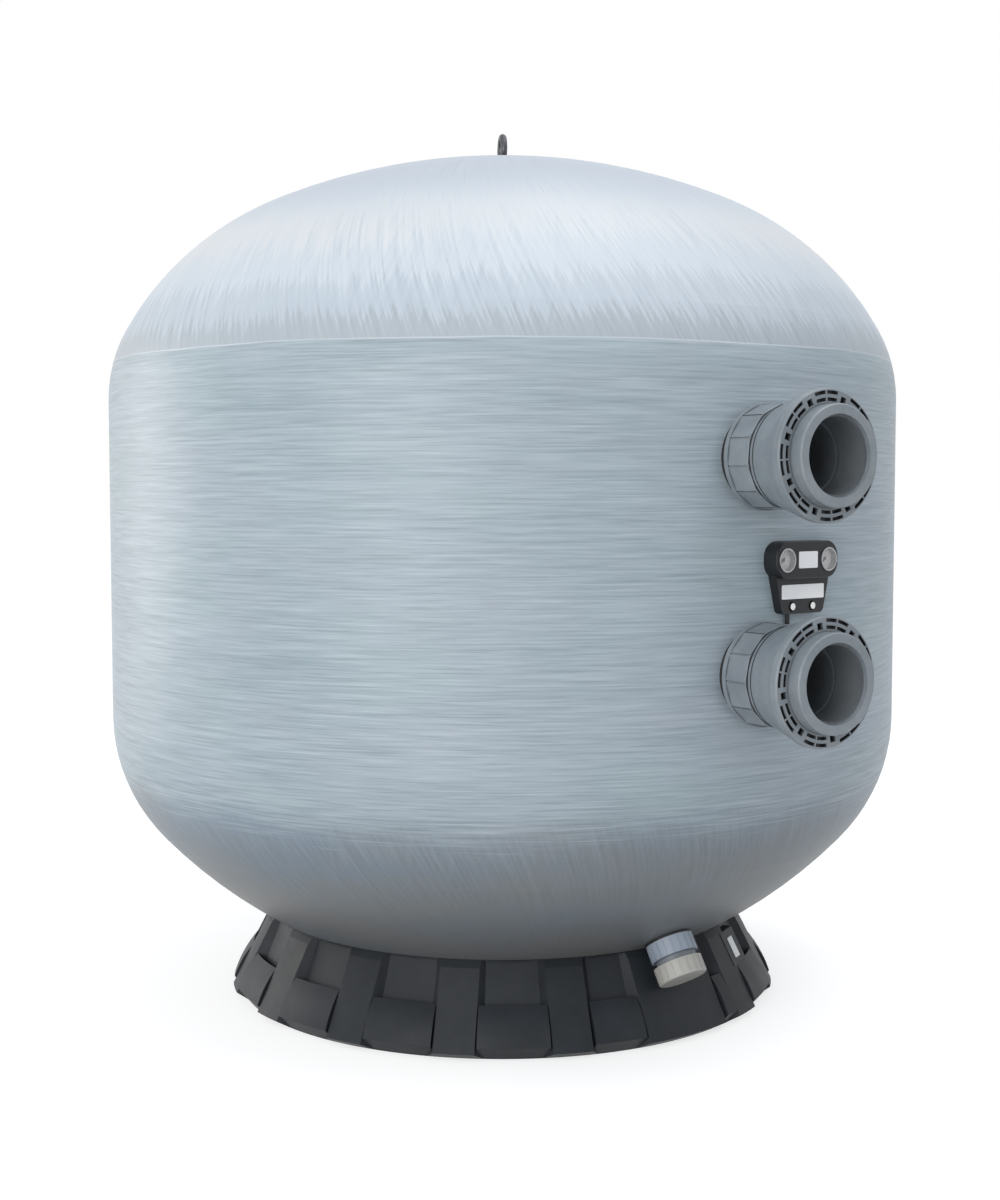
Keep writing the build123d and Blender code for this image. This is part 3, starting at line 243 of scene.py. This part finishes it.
def hoop_strands(tree, place):
    """Tone of the level strands, and their colour with its slow drift."""
    hoops = noise(tree, stretched(tree, place, hoop_stretch), 1.0, 4.0, 0.65)
    fine_hoops = noise(tree, stretched(tree, place, fine_hoop_stretch), 1.0, 2.0, 0.5)
    tone = math_node(tree, "MULTIPLY_ADD", fine_hoops, 0.45, math_node(tree, "MULTIPLY", hoops, 0.55))
    colour = ramp(tree, tone, (
        (0.34, (0.200, 0.245, 0.275)),
        (0.50, (0.355, 0.420, 0.465)),
        (0.66, (0.520, 0.590, 0.635)),
    ))
    broad = noise(tree, stretched(tree, place, (1.4, 1.4, 22.0)), 1.0, 4.0, 0.6)
    colour = mix_colour(tree, 0.3, colour, ramp(tree, broad, (
        (0.30, (0.280, 0.345, 0.390)),
        (0.70, (0.440, 0.505, 0.555)),
    )))
    drift = noise(tree, stretched(tree, place, (4.0, 4.0, 7.0)), 1.0, 4.0, 0.6)
    colour = mix_colour(tree, 0.3, colour, ramp(tree, drift, (
        (0.35, (0.330, 0.425, 0.455)),
        (0.65, (0.380, 0.420, 0.495)),
    )))
    return tone, colour


def top_dome_colour(tree, ragged):
    """Zones of the upper dome, from the grey edge of the hoops to the pole, with a paler band part way up
    that is a painted highlight.
    """
    return ramp(tree, between(tree, ragged, *top_zones), (
        (0.00, (0.405, 0.455, 0.495)),
        (0.12, (0.415, 0.465, 0.505)),
        (0.18, (0.480, 0.540, 0.600)),
        (0.32, (0.500, 0.560, 0.620)),
        (0.38, (0.560, 0.620, 0.680)),
        (0.52, (0.580, 0.630, 0.680)),
        # The paler stops here are a painted highlight across the upper dome.
        (0.60, (0.620, 0.650, 0.680)),
        (0.72, (0.615, 0.645, 0.675)),
        (0.86, (0.520, 0.575, 0.635)),
        (1.00, (0.460, 0.515, 0.580)),
    ))


def low_dome_colour(tree, place, ragged):
    """The lower dome, blue-grey at the hoops and darker and browner towards the skirt; the darkening is
    painted shade.
    """
    # The darker stops towards the skirt are painted shade on the downward-facing dome.
    colour = ramp(tree, between(tree, ragged, *low_zones, True), (
        (0.00, (0.175, 0.180, 0.185)),
        (0.35, (0.175, 0.196, 0.210)),
        (0.70, (0.205, 0.240, 0.272)),
        (1.00, (0.265, 0.315, 0.365)),
    ))
    drift = noise(tree, stretched(tree, place, (2.5, 2.5, 8.0)), 1.0, 4.0, 0.6)
    return mix_colour(tree, 1.0, colour, ramp(tree, drift, (
        (0.35, (1.06, 1.00, 0.95)),
        (0.65, (0.94, 1.00, 1.06)),
    )), "MULTIPLY")


def wound_shell():
    """Clear-coated glass strands: level hoops round the side, leaning strands over the domes."""
    material, tree, shader = new_material("wound_shell")
    place = coordinates(tree)
    parts = tree.nodes.new("ShaderNodeSeparateXYZ")
    tree.links.new(place, parts.inputs[0])
    height = parts.outputs["Z"]
    wander = noise(tree, place, 3.0, 2.0)

    hoop_tone, hoop_colour = hoop_strands(tree, place)
    leaning = strand_noise(tree, place, strand_lean, 110.0, 9.0, 4.0)
    crossing = strand_noise(tree, place, crossing_lean, 80.0, 7.0, 4.0)
    strands = math_node(tree, "MULTIPLY_ADD", crossing, 0.25, math_node(tree, "MULTIPLY", leaning, 0.75))
    streaks = ramp(tree, strands, (
        (0.32, (0.84, 0.85, 0.86)),
        (0.50, (1.00, 1.00, 1.00)),
        (0.68, (1.08, 1.07, 1.06)),
    ))
    patches = between(tree, noise(tree, place, 6.0, 3.0), 0.35, 0.65, True)
    share = math_node(tree, "MULTIPLY_ADD", patches, 0.6, 0.3)
    streaks = mix_colour(tree, share, (1.0, 1.0, 1.0), streaks)
    ragged = moved(tree, moved(tree, height, strands, strand_reach), wander, zone_wander)
    top_colour = mix_colour(tree, 1.0, top_dome_colour(tree, ragged), streaks, "MULTIPLY")
    faint_streaks = mix_colour(tree, 0.35, (1.0, 1.0, 1.0), streaks)
    low_colour = mix_colour(tree, 1.0, low_dome_colour(tree, place, ragged), faint_streaks, "MULTIPLY")

    top_edge = moved(tree, height, wander, 2 * hoop_edge_wander)
    above = math_node(tree, "GREATER_THAN", top_edge, hoop_top)
    feathered = moved(tree, moved(tree, height, hoop_tone, 3 * hoop_fade), wander, hoop_fade)
    winding = between(tree, feathered, hoop_bottom - hoop_fade, hoop_bottom + hoop_fade / 2, True)
    colour = mix_colour(tree, winding, low_colour, hoop_colour)
    colour = mix_colour(tree, above, colour, top_colour)
    # A pale line along the hoops' top edge is a painted highlight where the raised edge catches light.
    off_edge = math_node(tree, "ABSOLUTE", math_node(tree, "SUBTRACT", top_edge, hoop_top))
    edge_line = math_node(tree, "LESS_THAN", off_edge, hoop_edge_line / 2)
    painted_edge_highlight = math_node(tree, "MULTIPLY", edge_line, math_node(tree, "MULTIPLY", wander, 0.8))
    colour = mix_colour(tree, painted_edge_highlight, colour, (0.72, 0.76, 0.80))
    tree.links.new(colour, shader.inputs["Base Color"])

    shader.inputs["Roughness"].default_value = 0.45
    shader.inputs["Specular IOR Level"].default_value = 0.3
    shader.inputs["Coat Weight"].default_value = 0.1
    shader.inputs["Coat Roughness"].default_value = 0.3
    relief = mix_colour(tree, winding, strands, hoop_tone)
    relief = mix_colour(tree, above, relief, strands)
    bump(tree, shader, relief, 0.35, winding_relief)
    return material


# Moulded plastics


def moulded(name, low, high, roughness, grain=260.0, relief=0.12, shine=0.5):
    """Moulded plastic with slight colour drift, dust and a fine grain."""
    material, tree, shader = new_material(name)
    place = coordinates(tree)
    drift = noise(tree, place, 9.0, 5.0, 0.6)
    colour = ramp(tree, drift, ((0.30, low), (0.70, high)))
    tree.links.new(colour, shader.inputs["Base Color"])
    polish = noise_range(tree, place, 28.0, roughness - 0.07, roughness + 0.09)
    tree.links.new(polish, shader.inputs["Roughness"])
    shader.inputs["Specular IOR Level"].default_value = shine
    bump(tree, shader, noise(tree, place, grain, 3.0), relief, 0.0006)
    return material


def brushed(name, low, high, roughness, metallic=1.0):
    """Metal with fine scratches and small tone changes."""
    material, tree, shader = new_material(name)
    place = coordinates(tree)
    scratches = noise(tree, stretched(tree, place, (90.0, 90.0, 900.0)), 1.0, 4.0, 0.65)
    tree.links.new(ramp(tree, scratches, ((0.30, low), (0.70, high))), shader.inputs["Base Color"])
    shader.inputs["Metallic"].default_value = metallic
    shader.inputs["Roughness"].default_value = roughness
    bump(tree, shader, scratches, 0.15, 0.0002)
    return material


def painted_pocket_shade(tree, reach):
    """One deep in a pocket or a seam, where shade is painted in, and nought on an open face."""
    node = tree.nodes.new("ShaderNodeAmbientOcclusion")
    node.samples = 8
    node.inputs["Distance"].default_value = reach
    return math_node(tree, "SUBTRACT", 1.0, between(tree, node.outputs["AO"], 0.25, 0.75, True))


def union_plastic():
    """Grey moulded plastic, with painted shade in the bores of the pipe sockets and in its deep pockets and
    seams.
    """
    material, tree, shader = new_material("union_plastic")
    place = coordinates(tree)
    parts = tree.nodes.new("ShaderNodeSeparateXYZ")
    tree.links.new(place, parts.inputs[0])
    drift = noise(tree, place, 14.0, 6.0, 0.65)
    colour = ramp(tree, drift, ((0.30, (0.180, 0.208, 0.232)), (0.70, (0.270, 0.302, 0.328))))
    nearest = None
    for port_height in port_heights:
        rise = math_node(tree, "SUBTRACT", parts.outputs["Z"], port_height)
        across = math_node(tree, "MULTIPLY", parts.outputs["X"], parts.outputs["X"])
        distance = math_node(tree, "SQRT", math_node(tree, "MULTIPLY_ADD", rise, rise, across))
        nearest = distance if nearest is None else math_node(tree, "MINIMUM", nearest, distance)
    inside = math_node(tree, "LESS_THAN", nearest, socket_bore)
    # Painted shade inside the socket bores.
    colour = mix_colour(tree, math_node(tree, "MULTIPLY", inside, bore_shade), colour, (0.060, 0.062, 0.064))
    # Painted shade in deep pockets and seams.
    colour = mix_colour(tree, painted_pocket_shade(tree, pocket_shade_reach), colour, (0.022, 0.023, 0.025))
    tree.links.new(colour, shader.inputs["Base Color"])
    tree.links.new(noise_range(tree, place, 34.0, 0.34, 0.54), shader.inputs["Roughness"])
    bump(tree, shader, noise(tree, place, 220.0, 4.0), 0.15, 0.0006)
    return material


def rubber():
    """Black seal rubber."""
    return moulded("seal_rubber", (0.012, 0.012, 0.013), (0.024, 0.024, 0.025), 0.7, 500.0, 0.2)


def gauge_glass():
    """Thin clear lens with faint smears."""
    material, tree, shader = new_material("gauge_glass")
    place = coordinates(tree)
    smears = ramp(tree, noise(tree, place, 120.0, 4.0), ((0.4, (0.80,) * 3), (0.8, (0.95,) * 3)))
    tree.links.new(smears, shader.inputs["Base Color"])
    tree.links.new(noise_range(tree, place, 90.0, 0.03, 0.10), shader.inputs["Roughness"])
    shader.inputs["Alpha"].default_value = lens_alpha
    return material


materials = {
    "wound_shell": wound_shell(),
    "skirt_plastic": moulded("skirt_plastic", (0.014, 0.017, 0.021), (0.026, 0.030, 0.036), 0.5, shine=0.25),
    "union_plastic": union_plastic(),
    "panel_plastic": moulded("panel_plastic", (0.012, 0.013, 0.016), (0.020, 0.022, 0.025), 0.42, shine=0.3),
    "nut_plastic": moulded("nut_plastic", (0.300, 0.350, 0.420), (0.370, 0.420, 0.490), 0.45),
    "cap_plastic": moulded("cap_plastic", (0.430, 0.420, 0.390), (0.520, 0.510, 0.480), 0.5),
    "pipe_plastic": moulded("pipe_plastic", (0.480, 0.490, 0.500), (0.560, 0.570, 0.580), 0.45),
    "lid_plastic": moulded("lid_plastic", (0.230, 0.270, 0.310), (0.290, 0.330, 0.370), 0.45),
    "seal_rubber": rubber(),
    "blank_label": moulded("blank_label", (0.860, 0.870, 0.890), (0.930, 0.935, 0.940), 0.4, 400.0, 0.05),
    "dial_face": moulded("dial_face", (0.760, 0.730, 0.730), (0.840, 0.810, 0.810), 0.4, 400.0, 0.05),
    "needle_paint": moulded("needle_paint", (0.015, 0.015, 0.015), (0.030, 0.030, 0.030), 0.35),
    "gauge_glass": gauge_glass(),
    "gauge_steel": brushed("gauge_steel", (0.300, 0.305, 0.315), (0.440, 0.445, 0.455), 0.38),
    "tap_metal": brushed("tap_metal", (0.560, 0.560, 0.550), (0.760, 0.760, 0.750), 0.28),
    "eye_steel": brushed("eye_steel", (0.060, 0.062, 0.068), (0.120, 0.122, 0.130), 0.42, 0.8),
    "bolt_steel": brushed("bolt_steel", (0.480, 0.480, 0.480), (0.640, 0.640, 0.640), 0.35),
    "insert_brass": brushed("insert_brass", (0.480, 0.350, 0.150), (0.600, 0.450, 0.220), 0.35),
    "tube_plastic": moulded("tube_plastic", (0.640, 0.660, 0.680), (0.710, 0.730, 0.750), 0.35),
}
for subpart in frame["record"]["subparts"]:
    node = frame["nodes"][subpart["node"]]
    for place in node.material_slots:
        place.material = materials[subpart["material_slot"]]


# Dial marks


def panel_matrix(distance, across):
    """Frame on the panel: X to the viewer's right, Y up, Z out of the panel."""
    outward = Vector((sin(panel_turn), -cos(panel_turn), 0))
    tangent = Vector((cos(panel_turn), sin(panel_turn), 0))
    origin = outward * distance + tangent * across + Vector((0, 0, gauge_height))
    turn = Matrix((tangent, (0, 0, 1), outward)).transposed()
    return Matrix.Translation(origin) @ turn.to_4x4()


def dial_marks(name, across):
    """Thin printed ticks round a dial, every fourth one longer."""
    mesh = bmesh.new()
    for index in range(dial_ticks + 1):
        turn = dial_start - dial_sweep * index / dial_ticks
        major = index % ticks_per_major == 0
        inner = major_inner if major else minor_inner
        half = (major_width if major else minor_width) / 2
        along = Vector((cos(turn), sin(turn), 0))
        aside = Vector((-sin(turn), cos(turn), 0))
        corners = [
            along * inner - aside * half,
            along * tick_outer - aside * half,
            along * tick_outer + aside * half,
            along * inner + aside * half,
        ]
        mesh.faces.new([mesh.verts.new(corner) for corner in corners])
    bmesh.ops.solidify(mesh, geom=mesh.faces[:], thickness=tick_thickness)
    data = bpy.data.meshes.new(name)
    mesh.to_mesh(data)
    mesh.free()
    piece = bpy.data.objects.new(name, data)
    bpy.context.scene.collection.objects.link(piece)
    piece.matrix_world = panel_matrix(dial_distance + tick_lift, across)
    data.materials.append(materials["needle_paint"])
    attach(piece, "tank")


dial_marks("inlet_dial_marks", -gauge_spacing / 2)
dial_marks("outlet_dial_marks", gauge_spacing / 2)


# Floor, world and lamps


def pale_for_camera(tree):
    """One for the rays that show the floor or the sky, and nought for those that light the object."""
    rays = tree.nodes.new("ShaderNodeLightPath")
    seen = math_node(tree, "MAXIMUM", rays.outputs["Is Camera Ray"], rays.outputs["Is Glossy Ray"])
    return math_node(tree, "MAXIMUM", seen, rays.outputs["Is Transmission Ray"])


def floor():
    """A wide pale floor that keeps the object's shadow."""
    data = bpy.data.meshes.new("floor")
    reach = floor_half_size
    corners = [(-reach, -reach, 0), (reach, -reach, 0), (reach, reach, 0), (-reach, reach, 0)]
    data.from_pydata(corners, [], [(0, 1, 2, 3)])
    piece = bpy.data.objects.new("floor", data)
    bpy.context.scene.collection.objects.link(piece)
    material, tree, shader = new_material("floor")
    mottling = noise(tree, coordinates(tree), 0.6, 2.0)
    colour = ramp(tree, mottling, ((0.2, (0.48, 0.48, 0.48)), (0.8, (0.50, 0.50, 0.50))))
    tree.links.new(colour, shader.inputs["Base Color"])
    shader.inputs["Roughness"].default_value = 0.9
    shader.inputs["Specular IOR Level"].default_value = 0.1
    shader.inputs["Emission Color"].default_value = (1, 1, 1, 1)
    lift = math_node(tree, "MULTIPLY", pale_for_camera(tree), floor_lift)
    tree.links.new(lift, shader.inputs["Emission Strength"])
    data.materials.append(material)


def sky():
    """White behind the object, and a softer sky that lights it."""
    world = bpy.data.worlds.new("sky")
    world.use_nodes = True
    tree = world.node_tree
    background = tree.nodes["Background"]
    shown = pale_for_camera(tree)
    colour = mix_colour(tree, shown, (0.91, 0.95, 1.0), (1.0, 1.0, 1.0))
    strength = math_node(tree, "MULTIPLY_ADD", shown, 1.0 - sky_strength, sky_strength)
    tree.links.new(colour, background.inputs["Color"])
    tree.links.new(strength, background.inputs["Strength"])
    bpy.context.scene.world = world


def lamp(name, place, target, size, power, colour):
    """A square area lamp that points at a target."""
    data = bpy.data.lights.new(name, "AREA")
    data.size = size
    data.energy = power
    data.color = colour
    piece = bpy.data.objects.new(name, data)
    piece.location = place
    piece.rotation_euler = (Vector(target) - Vector(place)).to_track_quat("-Z", "Y").to_euler()
    bpy.context.scene.collection.objects.link(piece)


floor()
sky()
lamp("top_lamp", (0.8, -1.2, 4.6), (0, 0, 0.9), 3.5, 72.0, (0.97, 0.98, 1.0))
lamp("front_lamp", (-4.2, -2.8, 1.3), (0, 0, 0.8), 2.5, 108.0, (1.0, 0.99, 0.97))
lamp("rim_lamp", (-3.2, 3.8, 1.3), (0, 0, 0.8), 2.4, 68.0, (1.0, 0.96, 0.91))

# Camera


def photo_camera():
    """The photograph's camera."""
    data = bpy.data.cameras.new("camera")
    data.sensor_fit = "VERTICAL"
    data.sensor_height = 36.0
    data.lens = camera_lens
    data.shift_x = camera_shift
    piece = bpy.data.objects.new("camera", data)
    away = Vector((sin(camera_turn), -cos(camera_turn), 0))
    piece.location = away * camera_distance + Vector((0, 0, camera_height))
    look = -away * cos(camera_pitch) - Vector((0, 0, sin(camera_pitch)))
    piece.rotation_euler = look.to_track_quat("-Z", "Y").to_euler()
    bpy.context.scene.collection.objects.link(piece)
    bpy.context.scene.camera = piece


photo_camera()
bpy.context.scene.view_settings.view_transform = "Standard"
